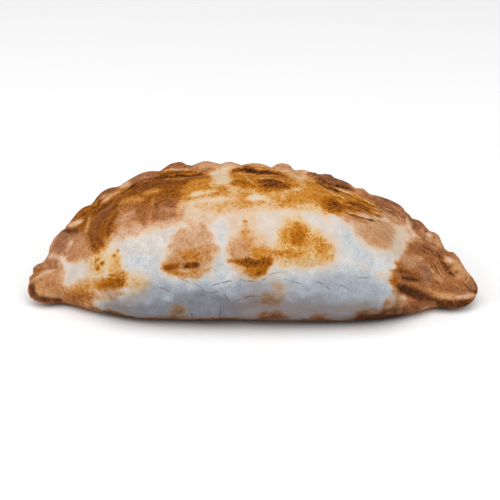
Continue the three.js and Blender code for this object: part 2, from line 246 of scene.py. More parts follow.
STROKES = {
    "top_wash": Stroke([
        (84, 250), (100, 205), (150, 175), (230, 166), (300, 170), (350, 188), (395, 220), (398, 226),
        (370, 222), (345, 216), (320, 213), (290, 212), (250, 214), (215, 216), (180, 222), (136, 234),
        (110, 243),
    ], 0, 11, 0.22, 0.6),

    # The rim over the crown, its folds paler than the two big ones beside it
    "rim_crown": Stroke([(196, 166), (215, 164), (250, 164)], 4, 4, 0.33, 0.25),
    # Painted shadow under the folds of the rim.
    "rim_crown_shadow": Stroke([(197, 169.5), (209, 169), (219, 170)], 1.2, 1.6, 0.62, 0.3),
    "rim_crown_far": Stroke([(250, 164), (270, 165), (290, 168), (306, 174)], 4, 4, 0.39, 0.15),
    "rim_lobe_left": Stroke([
        (159, 170), (168, 165), (178, 163), (188, 165), (196, 168),
    ], 4.4, 3, 0.58, 0.2),
    "rim_lobe_right": Stroke([(307, 174), (320, 174), (333, 178), (352, 188)], 5, 3, 0.72, 0.1),

    # The broad brown band on the left, streaked along the rim, and the pink dough under it
    "left_fringe": Stroke([
        (106, 244), (111, 228), (130, 214), (160, 208), (184, 206), (188, 218), (167, 226), (136, 233),
        (114, 243),
    ], 0, 6, 0.33, 0.05),
    "left_band": Stroke([
        (67, 229), (76, 213), (91, 203), (104, 196), (119, 187), (140, 178), (158, 172), (200, 170),
        (210, 175), (208, 183), (188, 188), (182, 200), (178, 213), (160, 218), (140, 222), (120, 226),
        (110, 236), (105, 248), (98, 256), (89, 255), (84, 244), (80, 234),
    ], 0, 5, 0.76, 0.92),
    "left_band_low": Stroke([
        (124, 212), (146, 203), (176, 200), (178, 213), (160, 219), (136, 222),
    ], 0, 6, 0.66, 0.35),
    "left_band_low_pink": Stroke(oval(166, 211.5, 7, 5), 0, 4, 0.52, 0.15),
    "left_band_low_strand": Stroke([(153, 199), (151.5, 210), (149, 221)], 2.2, 3, 0.46, 0.5),
    "left_band_low_gap": Stroke([(183, 198), (180, 207), (177, 217)], 2.4, 4, 0.4, 0.6),
    "left_band_frost": Stroke([
        (112, 222), (122, 212), (134, 210), (138, 218), (124, 227),
    ], 0, 6, 0.4, 0),
    "left_band_dark_long": Stroke([
        (96, 221), (106, 208), (118, 198), (130, 189), (146, 183.5), (162, 180.5),
    ], 2.8, 3.4, 0.84, 0.85),
    "left_band_dark_high": Stroke([
        (150, 178), (165, 176), (182, 174.5), (205, 174),
    ], 3.4, 2.4, 0.88, 0.9),
    "left_band_dark_low": Stroke([(148, 185), (165, 183.5), (192, 182)], 3, 2.2, 0.84, 0.9),
    "left_band_dark_mid": Stroke([(126, 194), (134, 189), (144, 187), (152, 187)], 3, 2.2, 0.84, 0.9),
    "left_band_light": Stroke([(143, 194), (150, 191.5), (160, 190)], 2.6, 2.4, 0.48, 0.8),
    "left_band_light_low": Stroke([(120, 203), (132, 199), (146, 199)], 2, 2.4, 0.52, 0.8),
    "left_strand_one": Stroke([(84, 240), (87, 228), (90, 216)], 1.6, 1.8, 0.4, 0.6),
    "left_strand_dark": Stroke([(97, 237), (98, 226), (104, 215), (114, 206)], 1.8, 1.8, 0.84, 0.85),
    "left_strand_dark_far": Stroke([(107, 240), (108, 230), (112, 221), (118, 212)], 2, 2, 0.82, 0.9),
    "left_band_end": Stroke([(186, 184), (200, 181), (214, 180)], 2.4, 3, 0.48, 1),
    "left_column": Stroke([(89, 232), (93, 244), (99, 254)], 5, 4, 0.76, 0.92),
    "left_column_dark": Stroke([(91, 233), (92, 241), (94, 248)], 1.6, 2, 0.92, 0.8),
    "left_column_dark_far": Stroke([(97, 234), (99, 241), (103, 247)], 1.8, 2.2, 0.88, 0.85),
    "left_finger": Stroke([(82.5, 230), (84, 239), (84, 247)], 2.2, 2, 0.74, 0.9),
    "left_edge_low": Stroke([(72, 220), (78, 213), (91, 204)], 2.5, 3, 0.74, 0.75),
    "left_lobe_edge": Stroke([(93, 200), (104, 191.5), (118, 188)], 2.8, 1.8, 0.8, 0.3),
    "left_lobe_mid": Stroke([(128, 181), (140, 177), (157, 174)], 3, 2.4, 0.62, 0.1),
    "left_ray_one": Stroke([(67.5, 226.5), (76, 223), (84, 219.5)], 2.6, 2, 0.24, 0.2),
    "left_ray_two": Stroke([(100, 203.5), (108, 198), (115, 193.5), (122, 189)], 2, 2, 0.26, 0.15),
    "left_lobe_light": Stroke(oval(124.5, 185.2, 6, 2.8, 25), 0, 2, 0.3, 0.2),

    # The left tip: a petal of the rim, a pale gap, and the flap that is tucked round
    "left_petal": Stroke([
        (47, 256), (55, 242), (66, 229), (78, 234), (72, 246), (66, 257), (56, 258),
    ], 0, 4, 0.58, 0.1),
    "left_petal_dark": Stroke([(56, 242), (62, 236), (68, 232)], 3, 3, 0.62, 0.05),
    "left_flange": Stroke([
        (70, 240), (80, 233), (89, 238), (91, 254), (86, 263), (73, 264),
    ], 0, 4, 0.47, 0.25),
    "left_flange_light": Stroke([(66, 260), (68, 248), (72, 240)], 1.2, 2.2, 0.28, 0.1),
    # Painted shadow in the notch under the overlapping fold, over a real pressed groove.
    "left_notch_painted_shadow": Stroke([
        (63, 231), (70, 228), (79, 229), (77, 232.5), (69, 234),
    ], 0, 1.8, 0.88, 0.3),
    "left_light_band": Stroke([(47, 255), (55, 256.5), (65, 260)], 2.8, 3.4, 0.27, 0.05),
    "left_tip_back": Stroke([
        (38, 272), (48, 261), (60, 260), (62, 268), (50, 268), (42, 272),
    ], 0, 2.6, 0.54, 0.15),
    "left_tip_edge": Stroke([(31, 279), (36, 272), (45, 268)], 2, 2, 0.62, 0.6),
    "left_flap": Stroke([
        (32, 283), (36, 277), (48, 270.5), (62, 270.5), (65, 280), (65, 295), (45, 298), (32, 293),
    ], 0, 2.6, 0.47, 0.3),
    "left_flap_core": Stroke([(47, 280), (56, 280), (62, 289), (52, 292), (45, 288)], 0, 4, 0.5, 0.35),
    # Painted highlight: the flap's rolled edge is paler as where it catches the light, over its real
    # raised edge.
    "left_flap_edge": Stroke([(34.5, 279.5), (40, 275), (47, 271.5), (57, 270)], 1.5, 1.6, 0.28, 0.05),
    "left_flap_roll": Stroke([(36, 291), (44, 294.5), (56, 296), (64, 295)], 1.6, 1.8, 0.36, 0.15),
    "left_flap_end": Stroke([
        (28, 285), (34, 283.5), (35, 290), (38, 297), (31, 296.5),
    ], 0, 2.2, 0.86, 0.3),
    # Painted shadow under the edge of the flap.
    "left_flap_underside_shadow": Stroke([(33, 297), (46, 300), (64, 300)], 3, 2, 0.86, 0.25),
    "left_gap": Stroke([
        (61, 259), (88, 261), (91, 272), (84, 281), (69, 289), (63, 286), (61, 272),
    ], 0, 5.4, 0.06, 0.3),
    "left_glow": Stroke([
        (90, 260), (100, 252), (112, 247), (124, 254), (126, 268), (108, 277), (92, 280),
    ], 0, 7, 0.19, 0.9),
    "left_glow_side": Stroke([
        (90, 259), (101, 254), (103, 262), (96, 272), (90, 271),
    ], 0, 5, 0.3, 0.95),
    "left_glow_patch": Stroke([(111, 256), (122, 256), (123, 270), (110, 273)], 0, 4, 0.35, 0.95),
    "left_foot_light": Stroke([
        (66, 290), (84, 281), (104, 275), (112, 284), (100, 294), (80, 297),
    ], 0, 7, 0.4, 0.9),
    "left_foot_fade": Stroke([
        (124, 270), (147, 273), (152, 284), (142, 298), (128, 298),
    ], 0, 8, 0.24, 0.9),
    "left_foot": Stroke([
        (95, 284), (104, 277), (110, 271), (124, 272), (129, 278), (128, 287), (116, 290), (98, 292),
    ], 0, 4.5, 0.62, 1),
    "left_foot_dark": Stroke([(101, 286), (112, 285), (124, 286)], 2.4, 2.6, 0.76, 0.95),
    "left_foot_dark_high": Stroke([(109, 281), (118, 280), (124, 282)], 1.4, 1.8, 0.7, 0.95),
    "left_foot_haze": Stroke([
        (90, 292), (124, 290), (130, 294), (114, 299), (94, 304),
    ], 0, 5, 0.3, 0.2),
    "left_foot_tail": Stroke([
        (64, 297), (74, 292), (94, 292), (98, 298), (92, 305), (70, 302),
    ], 0, 6, 0.66, 0.6),
    "left_speck_high": Stroke(oval(118, 250.6, 1.5, 1.4), 0, 1, 0.7, 1),
    "left_speck_mid": Stroke(oval(114.2, 255.4, 1.8, 1.6), 0, 1, 0.7, 1),
    "left_speck_low": Stroke(oval(97.2, 268.4, 2, 1.9), 0, 1, 0.7, 1),
    "left_speck_far": Stroke([(95, 264), (96.5, 260), (100, 258)], 0.7, 1, 0.7, 1),
    "left_speck_last": Stroke(oval(102, 263, 1.6, 1.2), 0, 1, 0.7, 1),

    # The crown: golden dough webbed with cream, and two dark bands along the rim
    "shelf_light": Stroke([(206, 186), (306, 186), (306, 211), (214, 213)], 0, 6, 0.32, 0.85),
    "shelf_gold": Stroke([
        (183, 186), (206, 183), (226, 183), (228, 191), (206, 196), (184, 202),
    ], 0, 5, 0.54, 1),
    "shelf_gold_streak": Stroke([(206, 185.6), (216, 185), (230, 183.6)], 1.1, 1.6, 0.56, 1),
    "shelf_gold_patch": Stroke([(215, 188), (226, 187), (227, 192), (217, 193)], 0, 2.4, 0.52, 1),
    "shelf_pale": Stroke([(188, 196), (200, 193), (216, 191)], 1.6, 2.4, 0.16, 0.7),
    "shelf_pale_low": Stroke([(188, 203), (204, 201), (216, 200), (232, 199)], 2, 3, 0.13, 0.6),
    "shelf_gold_low": Stroke([
        (196, 206), (206, 203), (222, 206), (236, 203), (240, 210), (226, 212), (204, 211),
    ], 0, 4, 0.42, 0.95),
    "shelf_gold_mid": Stroke([
        (238, 192), (252, 193), (270, 196), (284, 192), (308, 190), (310, 206), (284, 208), (262, 206),
        (242, 208),
    ], 0, 5, 0.5, 1),
    "shelf_gold_right": Stroke([
        (294, 205), (318, 202), (331, 212), (324, 217), (302, 214),
    ], 0, 5, 0.27, 0.85),
    "shelf_cream_right": Stroke(oval(327, 220, 10, 5, -15), 0, 6, 0.2, 0.8),
    "shelf_white_mid": Stroke([(246, 199.5), (258, 197), (270, 201), (281, 203)], 2, 3.4, 0.16, 0.7),
    "shelf_white_high": Stroke([(248, 186), (253, 190), (258, 195)], 1.8, 2.4, 0.12, 0.6),
    "shelf_white_far": Stroke([(284, 193), (282, 201)], 1.6, 2.4, 0.14, 0.6),
    "crown_gap": Stroke(oval(221.5, 170, 9, 3.4, 5), 0, 4, 0.15, 0.7),
    "crown_gap_mid": Stroke(oval(218, 174, 8.5, 2.6, -8), 0, 3, 0.15, 0.7),
    "crown_gap_low": Stroke([
        (212, 184), (216, 180), (219, 176), (226, 175.5), (229, 179), (232, 183), (226, 185.5),
        (219, 186),
    ], 0, 3.4, 0.18, 0.75),
    "crown_gap_far": Stroke([
        (290, 172), (303, 174), (304, 182), (302, 190), (293, 188),
    ], 0, 3, 0.28, 0.75),
    "crown_gold": Stroke([
        (230, 171), (252, 169), (275, 171), (296, 176), (300, 186), (282, 191), (262, 190), (246, 190),
        (233, 188),
    ], 0, 4, 0.58, 1),
    "crown_gold_dark": Stroke(oval(243.5, 184, 4.6, 3.2), 0, 2.2, 0.66, 1),
    "crown_gold_side": Stroke(oval(234, 184, 3.2, 2.4), 0, 2, 0.64, 1),
    "crown_brown": Stroke([
        (258, 180), (274, 179.5), (288, 183), (292, 189), (276, 189), (262, 187),
    ], 0, 3.2, 0.7, 0.95),
    "crown_strand": Stroke([(258, 181.6), (274, 180.4), (290, 185)], 1.7, 1.6, 0.9, 0.9),
    "crown_strand_low": Stroke([(262, 185.6), (277, 184.6), (291, 188.6)], 1.7, 1.6, 0.88, 0.9),
    "crown_strand_side": Stroke([(236, 181), (246, 182.6), (256, 186)], 1.3, 1.6, 0.72, 1),
    "crown_dark": Stroke([(231, 173), (239, 170), (249, 169.6), (258, 172.5)], 2.8, 1.8, 0.8, 0.95),
    "crown_dark_core": Stroke([(238, 171.4), (249, 170.6), (261, 174.4)], 1.8, 1.5, 0.93, 0.85),
    "crown_dark_far": Stroke([
        (254, 172.4), (266, 173), (279, 174.4), (290, 178.5),
    ], 1.9, 1.6, 0.88, 0.85),

    # The right shoulder: a blush, then golden dough drawn out into dark streaks along the rim
    "right_blush": Stroke([
        (332, 209), (352, 207), (376, 212), (398, 222), (402, 231), (396, 242), (391, 250), (382, 254),
        (370, 248), (357, 236), (342, 224),
    ], 0, 8, 0.36, 0.25),
    "right_blush_core": Stroke([
        (362, 230), (378, 227), (392, 231), (393, 242), (384, 248), (370, 242),
    ], 0, 7, 0.4, 0.3),
    "right_rim": Stroke([
        (352, 188), (366, 193), (386, 197), (400, 206), (412, 219), (406, 224), (392, 219), (376, 211),
        (362, 203),
    ], 0, 4, 0.6, 0.15),
    "right_rim_dark": Stroke([(362, 197), (380, 204), (396, 213)], 3, 3, 0.68, 0.1),
    "right_rim_edge": Stroke([(384, 198), (392, 200.5), (399, 206)], 1.3, 1.6, 0.68, 0.1),
    "right_rim_pale": Stroke([(376, 211.5), (388, 217), (402, 224)], 2.4, 3, 0.42, 0.15),
    "right_gold": Stroke([
        (303, 179), (318, 178), (340, 187), (358, 195), (376, 207), (383, 216), (370, 218), (350, 215),
        (326, 214), (316, 204), (305, 197),
    ], 0, 6, 0.52, 1),
    "right_dark": Stroke([
        (322, 200), (334, 197), (346, 202), (348, 211), (338, 215), (326, 210),
    ], 0, 4.5, 0.73, 0.98),
    "right_dark_core": Stroke([(330, 203), (340, 206), (344, 210)], 2, 2.4, 0.86, 0.9),
    "right_dark_high": Stroke([(316, 183), (328, 187), (341, 191)], 3, 2, 0.87, 0.85),
    # Painted shadow: the dark line where the dome's crest hides the valley before the rim.
    "right_valley": Stroke([
        (314, 177.5), (330, 183.3), (345, 187.8), (356, 192),
    ], 2.2, 1.6, 0.92, 0.45),
    "right_streak_high": Stroke([(346, 203), (360, 205), (372, 210)], 2.6, 1.7, 0.8, 1),
    "right_streak_low": Stroke([(346, 209), (358, 212)], 1.6, 1.6, 0.66, 1),
    "right_streak_far": Stroke([(375, 213.8), (384, 217.5)], 1.6, 1.3, 0.84, 0.9),
    "right_streak_long": Stroke([(344, 205.5), (358, 210), (372, 214.5)], 1.6, 1.6, 0.88, 0.9),
    "right_streak_end": Stroke([(346, 213), (358, 217), (374, 221)], 1.6, 1.6, 0.82, 0.9),
    "right_line_spot": Stroke(oval(371, 219.8, 2, 1.3, -15), 0, 1, 0.86, 0.7),

    # The right tip: wrinkled where it was twisted, and dark where it dips towards the tray, partly
    # toasted and partly painted shade in the fold under its roll; its wrinkles are darkened with painted
    # shade as well.
    "right_gap": Stroke([
        (394, 226), (404, 227), (410, 235), (407, 248), (402, 257), (395, 262), (391, 256), (396, 242),
    ], 0, 7, 0.17, 0.3),
    "right_tip_haze": Stroke([
        (384, 304), (398, 295), (412, 299), (430, 303), (414, 312), (388, 313),
    ], 0, 7, 0.38, 0.2),
    "right_tip": Stroke([
        (404, 256), (411, 240), (425, 241), (440, 247), (455, 257), (468, 273), (478, 285), (475, 299),
        (460, 307), (432, 304), (412, 303), (394, 287), (390, 279), (396, 265),
    ], 0, 5, 0.62, 0.4),
    "right_ray": Stroke([(407, 219), (410, 229), (415, 235.5), (422, 238.5)], 1.7, 1.8, 0.18, 0.15),
    # Painted shadow under the overlapping fold of the rim, beside a real pressed notch.
    "right_lobe_painted_shadow": Stroke([
        (412, 218), (417, 219), (421, 226), (418, 231), (413, 229),
    ], 0, 2, 0.68, 0.15),
    "right_lobe": Stroke([
        (420, 228), (431, 230), (444, 246), (438, 250), (426, 241),
    ], 0, 3, 0.44, 0.15),
    "right_lobe_spot": Stroke(oval(425.7, 231.5, 2, 1.7), 0, 1.2, 0.7, 0.15),
    "right_lobe_spot_far": Stroke(oval(433.8, 237.2, 1.8, 1.8), 0, 1.2, 0.68, 0.5),
    "right_lobe_pale": Stroke(oval(429, 235.4, 3.2, 1.6, -25), 0, 1.4, 0.12, 0.1),
    "right_tip_brown": Stroke([
        (410, 243), (424, 246), (436, 254), (430, 258), (414, 254),
    ], 0, 4, 0.68, 0.35),
    "right_tip_pink": Stroke([
        (402, 257), (412, 254), (422, 258), (423, 267), (410, 268), (401, 264),
    ], 0, 4, 0.44, 0.15),
    "right_tip_purple": Stroke([
        (420, 266), (430, 268), (436, 277), (430, 285), (420, 279),
    ], 0, 4, 0.62, 0),
    "right_tip_pale": Stroke([
        (433, 271), (444, 277), (451, 281), (441, 283.5), (433, 279),
    ], 0, 3, 0.41, 0.2),
    "right_tip_plate": Stroke([
        (455, 261), (462, 266), (468, 275), (466, 281), (456, 279), (451, 268),
    ], 0, 2.6, 0.43, 0.35),
    # The wrinkles are dark partly from toast and partly from painted shade in their folds, over pressed
    # grooves.
    "right_tip_wrinkle_top": Stroke(oval(439.5, 255, 2.8, 4.6), 0, 2, 0.72, 0.3),
    "right_tip_wrinkle": Stroke([
        (441, 258), (444, 266), (449, 272.5), (456, 276.5),
    ], 2, 1.8, 0.76, 0.35),
    "right_tip_wrinkle_side": Stroke([(434, 260), (437, 267), (441, 273)], 1.5, 1.6, 0.7, 0.3),
    "right_tip_fleck": Stroke([
        (443.5, 255), (451, 257.5), (456, 260.5), (450, 264), (445, 262),
    ], 0, 1.7, 0.28, 0.3),
    "right_tip_dot": Stroke(oval(449.8, 261.6, 1.1, 1.1), 0, 1, 0.06, 0),
    "right_tip_spot": Stroke(oval(456.5, 272, 2, 2.2), 0, 1.3, 0.76, 0.35),
    "right_tip_light": Stroke([
        (430, 289), (444, 293.5), (457, 297), (450, 300), (436, 297),
    ], 0, 3, 0.37, 0.5),
    # Painted highlight: a small pale glint on the end of the tip.
    "right_tip_painted_glint": Stroke([
        (453, 297), (462, 296), (472, 293), (475.5, 295.5), (466, 299.5), (457, 299.3),
    ], 0, 1.6, 0.3, 0.05),
    "right_tip_streak_mid": Stroke([(435, 286), (445, 287.5), (452, 288)], 1.7, 2, 0.62, 0.4),
    "right_tip_patch": Stroke([(450, 286), (462, 286), (466, 291), (456, 293)], 0, 2.6, 0.62, 0.3),
    "right_tip_under": Stroke([
        (434, 300), (455, 301.5), (472, 299.5), (466, 309), (440, 308),
    ], 0, 2.2, 0.9, 0.45),
    "right_tip_streak_one": Stroke([(393, 263), (403, 264.6)], 1.5, 1.8, 0.64, 1),
    "right_tip_streak_two": Stroke([
        (389, 270), (398, 270.5), (408, 272.5), (417, 275), (421, 278),
    ], 1.5, 1.8, 0.8, 0.8),
    "right_tip_streak_three": Stroke([(402, 277.3), (412, 279), (421, 280.6)], 1.7, 1.8, 0.9, 0.5),
    "right_tip_band_start": Stroke([(390, 280), (399, 284.5)], 3, 3, 0.7, 1),
    # Painted shade, partly: the fold under the tip's roll is darkened as if shaded as well as toasted.
    "right_tip_band": Stroke([(398, 286.5), (410, 292), (422, 298), (435, 300)], 4, 3, 0.93, 0.4),
    "right_tip_foot": Stroke([(402, 301), (416, 303), (431, 304)], 2, 2.6, 0.68, 0.5),
    "right_end": Stroke([
        (467, 282), (474, 281), (478, 288), (476, 294), (469, 291),
    ], 0, 2.2, 0.64, 0.15),
    "right_end_tip": Stroke(oval(476.3, 290.5, 1.5, 2.8), 0, 1.4, 0.84, 0.2),

    # Three blisters stand out of the flank, each toasted darkest along its foot
    "blister_glow": Stroke([
        (226, 216), (250, 211), (285, 211), (318, 216), (340, 228), (344, 254), (330, 270), (300, 274),
        (282, 270), (262, 282), (238, 276), (225, 262),
    ], 0, 11, 0.1, 0.3),
    "first_blister_top": Stroke([
        (186, 207), (212, 206), (216, 221), (210, 231), (190, 229),
    ], 0, 7, 0.2, 0.3),
    "first_blister": Stroke([
        (161, 264), (162, 252), (170, 238), (184, 227), (203, 224), (211, 231), (213, 248), (211, 260),
        (205, 272), (188, 277), (168, 274),
    ], 0, 9, 0.29, 0.25),
    "first_blister_pink": Stroke([
        (168, 248), (174, 238), (188, 230), (204, 229), (210, 238), (210, 247), (190, 251),
    ], 0, 8.6, 0.36, 0.15),
    "first_blister_brown": Stroke([
        (161, 262), (170, 255), (180, 249), (192, 247), (205, 246), (210, 252), (208, 262), (196, 270),
        (170, 272), (162, 269),
    ], 0, 4.5, 0.46, 0.45),
    "first_blister_patch": Stroke([
        (178, 254), (188, 251), (198, 254), (200, 259), (184, 260),
    ], 0, 3, 0.58, 0.9),
    "first_blister_side": Stroke([(162, 260), (164, 268)], 2.4, 2.4, 0.54, 1),
    "first_blister_foot": Stroke([(166, 272), (184, 274), (200, 271)], 2.6, 2.4, 0.56, 0.95),
    "first_blister_fringe": Stroke([(178, 276), (194, 277), (210, 268)], 2, 3, 0.36, 0.5),
    "first_blister_scar": Stroke([
        (163, 266), (170, 263.5), (179, 263), (180.5, 268), (172, 270.8), (164, 270.5),
    ], 0, 1.8, 0.82, 0.97),
    "first_blister_scar_far": Stroke([
        (182.5, 263.5), (190, 262), (198, 262.5), (198.5, 267), (190, 269), (183, 269),
    ], 0, 1.8, 0.84, 0.95),
    "first_blister_scar_core": Stroke([(184.5, 266), (189, 265.8)], 1.2, 1.8, 0.92, 0.8),
    "first_blister_dot": Stroke(oval(161.4, 268.6, 1.3, 1.1), 0, 1, 0.92, 0.5),
    "second_blister_top": Stroke([
        (226, 214), (240, 212), (242, 228), (233, 237), (226, 231),
    ], 0, 6, 0.21, 0.2),
    "second_blister": Stroke([
        (232, 260), (233, 242), (237, 232), (241, 218), (250, 215), (255, 232), (262, 240), (271, 246),
        (273, 262), (266, 273), (254, 279), (242, 273), (233, 267),
    ], 0, 8.6, 0.29, 0.5),
    "second_blister_spot": Stroke(oval(244.5, 221.2, 3, 1.8), 0, 1.6, 0.56, 1),
    "second_blister_neck": Stroke([(246, 226), (246, 236), (249, 245)], 3.6, 3.4, 0.44, 0.85),
    "second_blister_neck_dark": Stroke([(242, 239), (249, 243)], 1.6, 2.4, 0.56, 0.95),
    "second_blister_pink": Stroke(oval(239.5, 249, 9, 10), 0, 5, 0.4, 0.3),
    "second_blister_gold": Stroke([
        (250, 246), (262, 248), (272, 252), (270, 260), (254, 258),
    ], 0, 3.6, 0.5, 1),
    "second_blister_foot": Stroke([
        (244, 266), (270, 263), (266, 273), (256, 279), (249, 276),
    ], 0, 2.8, 0.52, 1),
    "second_blister_foot_dark": Stroke([(256, 274), (263, 271), (268, 266)], 1.8, 2.2, 0.68, 1),
    "second_blister_scar": Stroke([
        (229, 261), (236, 258.6), (248, 258.6), (256, 260.4), (264, 259), (273, 258), (272, 264),
        (262, 267), (250, 267), (238, 264.4),
    ], 0, 2.2, 0.78, 1),
    "second_blister_scar_mid": Stroke([(240, 261.8), (248, 262), (256, 263.5)], 2.6, 1.6, 0.82, 0.95),
    "second_blister_scar_far": Stroke([(257, 262.4), (265, 261), (272, 259.5)], 2.2, 1.6, 0.82, 0.95),
    "third_blister": Stroke([
        (275, 246), (280, 232), (289, 221), (303, 217), (313, 226), (323, 232), (332, 243), (333, 257),
        (325, 263), (310, 266), (288, 267), (276, 260),
    ], 0, 7, 0.31, 1),
    "third_blister_left": Stroke([
        (278, 244), (282, 231), (292, 222), (298, 226), (288, 240),
    ], 0, 4, 0.4, 1),
    "third_blister_core": Stroke([
        (287, 243), (289, 231), (298, 223), (305, 227), (309, 237), (305, 246),
    ], 0, 5, 0.6, 1),
    "third_blister_heart": Stroke([(292, 239), (299, 232), (305, 238), (300, 244)], 0, 4, 0.68, 1),
    "third_blister_right": Stroke([(310, 236), (321, 246), (326, 257)], 4.6, 4, 0.45, 1),
    "third_blister_right_dark": Stroke([(318, 250), (322, 253)], 2.4, 2.6, 0.54, 1),
    "third_blister_low": Stroke([(272, 252), (284, 253.5), (296, 254), (307, 252)], 4, 2.6, 0.5, 1),
    "third_blister_fringe": Stroke([
        (276, 264), (292, 265), (308, 264), (322, 261),
    ], 2.8, 4, 0.24, 0.85),

    # The flank hardly browned, but for a few spots and where it met the tray
    "flank_haze": Stroke([
        (236, 303), (262, 297), (300, 303), (345, 304), (374, 303), (362, 318), (300, 320), (240, 318),
    ], 0, 8, 0.12, 0.1),
    "flank_haze_mid": Stroke(oval(264, 300, 20, 10), 0, 8, 0.14, 0.1),
    "flank_spot_left": Stroke(oval(179, 311.6, 7, 5), 0, 7, 0.42, 0.3),
    "flank_spot_mid": Stroke(oval(270.5, 301.5, 6, 5), 0, 6.4, 0.43, 0.3),
    "flank_spot_high": Stroke(oval(279.5, 287, 7, 6), 0, 6.4, 0.29, 0.2),
    "flank_line": Stroke([(337, 258), (358, 263), (375, 272)], 1.8, 4, 0.09, 0.5),
    "flank_line_end": Stroke(oval(383, 276, 6, 5), 0, 5, 0.15, 0.35),
    "tray_edge_left": Stroke([(64, 301), (90, 308), (120, 315), (145, 320)], 1.8, 2.8, 0.66, 0.4),
    "tray_edge": Stroke([
        (140, 321), (200, 325), (260, 324), (330, 324), (400, 318),
    ], 2, 2.8, 0.62, 0.3),
    "tray_spot_mid": Stroke([(256, 321), (264, 313), (280, 314), (287, 321)], 0, 5.6, 0.56, 0.25),
    "tray_spot_far": Stroke([(303, 321), (310, 314), (324, 314), (332, 321)], 0, 5.6, 0.54, 0.25),
    "tray_spot_right": Stroke([
        (348, 326), (362, 317), (382, 311), (405, 304), (428, 303), (420, 314), (390, 325),
    ], 0, 7, 0.74, 0.25),
}

# A cool white wash: in the gaps between the blisters it is dough that hardly baked; on the lower flank it
# is partly that and partly a painted bluish cast of the shade there.
COOL = Wash([
    (120, 316), (140, 298), (152, 278), (122, 268), (126, 255), (158, 250), (160, 276), (190, 281),
    (214, 276), (219, 262), (219, 226), (228, 224), (226, 262), (240, 281), (268, 281), (285, 271),
    (328, 269), (338, 256), (336, 226), (332, 213), (350, 224), (374, 256), (392, 260), (386, 275),
    (392, 284), (402, 302), (350, 326), (200, 330),
], 0, 9, 1)

# Painted shade: the flank is darkened to grey where it turns under, towards the tray.
PAINTED_UNDER_SHADE = (
    Wash([
        (86, 306), (100, 297), (130, 289), (150, 282), (190, 286), (240, 280), (300, 277), (350, 276),
        (392, 290), (405, 306), (380, 330), (240, 340), (100, 325),
    ], 0, 10, 0.4),
    Wash([(128, 292), (150, 284), (172, 288), (160, 302), (130, 304)], 0, 7, 0.54),
    Wash(oval(252, 290, 20, 7), 0, 6, 0.56),
    Wash([
        (96, 310), (108, 303), (130, 300), (165, 301), (188, 294), (206, 291), (220, 292), (229, 299),
        (241, 300), (258, 296), (290, 297), (330, 301), (370, 304), (402, 309), (380, 335), (240, 345),
        (120, 335),
    ], 0, 6, 0.7),
    Wash([(208, 294), (226, 297), (246, 300), (262, 300), (250, 308), (222, 309)], 0, 6, 0.78),
    Wash([
        (60, 304), (120, 316), (200, 321), (300, 319), (400, 314), (400, 345), (60, 345),
    ], 0, 4, 0.95),
)

# Lines too fine for a stroke, by the points they run through: pale veins where the skin opened,
# dark creases where it was twisted, darkened partly by toast and partly by painted shade in the folds,
# and cracks in the dry skin of the lower flank.
VEINS = (
    [(146, 181.5), (165, 179.3), (188, 178.3)],
    [(166, 170.5), (176, 169), (187, 169.5)],
    [(246, 176.5), (250, 181), (256, 186)],
    [(256, 178.5), (270, 178), (282, 180.5), (291, 187)],
    [(92, 277), (102, 276.3), (112, 277), (118, 278)],
    [(324, 184.6), (335, 188), (346, 191.5)],
    [(315, 182.5), (324, 188), (334, 194.5), (343, 198)],
    [(338, 199.5), (347, 204.5), (358, 206.5)],
    [(356, 208.6), (366, 212.5), (378, 218)],
    [(350, 213), (362, 216.5), (376, 219)],
    [(384, 207), (394, 212), (402, 219)],
    [(422, 258.5), (426, 261.5), (430.5, 265), (429, 268), (433, 271)],
    [(434.5, 262.5), (438.5, 270), (443, 276)],
    [(468.5, 275.5), (468, 280), (465, 283.5)],
)
CREASES = (
    [(330, 185.6), (345, 193.6), (360, 199.5), (372, 206)],
    [(351, 203.5), (363, 208.5), (374, 213)],
    [(347, 212.5), (356, 215.5), (366, 219), (374, 220.8)],
    [(346, 216.5), (356, 219.8), (367, 223)],
    [(384, 219), (392, 220.5), (397, 224)],
    [(422, 237.5), (430, 242.7), (438, 248)],
    [(424, 247), (432, 251.5), (436, 256)],
    [(426, 260.5), (431, 266)],
    [(432, 261), (436, 267.5), (437.5, 271)],
    [(438, 252), (441, 261), (446, 271), (453, 275.5)],
    [(444, 262.5), (449, 269.5)],
    [(465, 284.5), (469.5, 289), (475, 292.3)],
)
CRACKS = (
    [(242, 280), (247, 281.2), (254, 281.6), (263.5, 280)],
    [(271, 274.5), (276, 272.6), (285, 272)],
    [(286, 280), (292, 281.6), (298.5, 283.6)],
    [(319, 283), (324, 284.6)],
    [(326, 286.8), (328.6, 288.6)],
    [(338, 285), (344, 286.5), (350, 290)],
    [(360, 277.8), (367, 278)],
    [(239, 300.4), (245, 298.6), (252, 296), (259, 297)],
    [(203, 291), (212, 293), (218, 291.8), (225, 295), (227.6, 299.4)],
    [(181, 279), (187, 281.6), (193, 283.2), (201, 287)],
    [(214.5, 285), (222, 283), (230, 281.5)],
    [(160, 288), (164, 288.6), (168, 291)],
    [(220.6, 309), (219, 317.5)],
    [(189, 309), (193, 317.5)],
)
LINE_FIELD = 4  # the pixels on each side of a line that know of it

# Each wander bends the outlines: how far, in soft edges, and how often to the millimetre.
WANDERS = (0.9, 0.11), (0.6, 0.4)
TAPER = 3  # the higher, the blunter the ends of a stroke
CLEAR = 0.0015  # how far a look at the camera starts off the skin
# Strokes end softly where the crust goes out of sight: how often what is hidden is evened out, and
# the share in sight at which strokes are whole, first close to that edge and then in a broad belt.
SIGHT_EDGES = (8, 0.25), (60, 0.5)


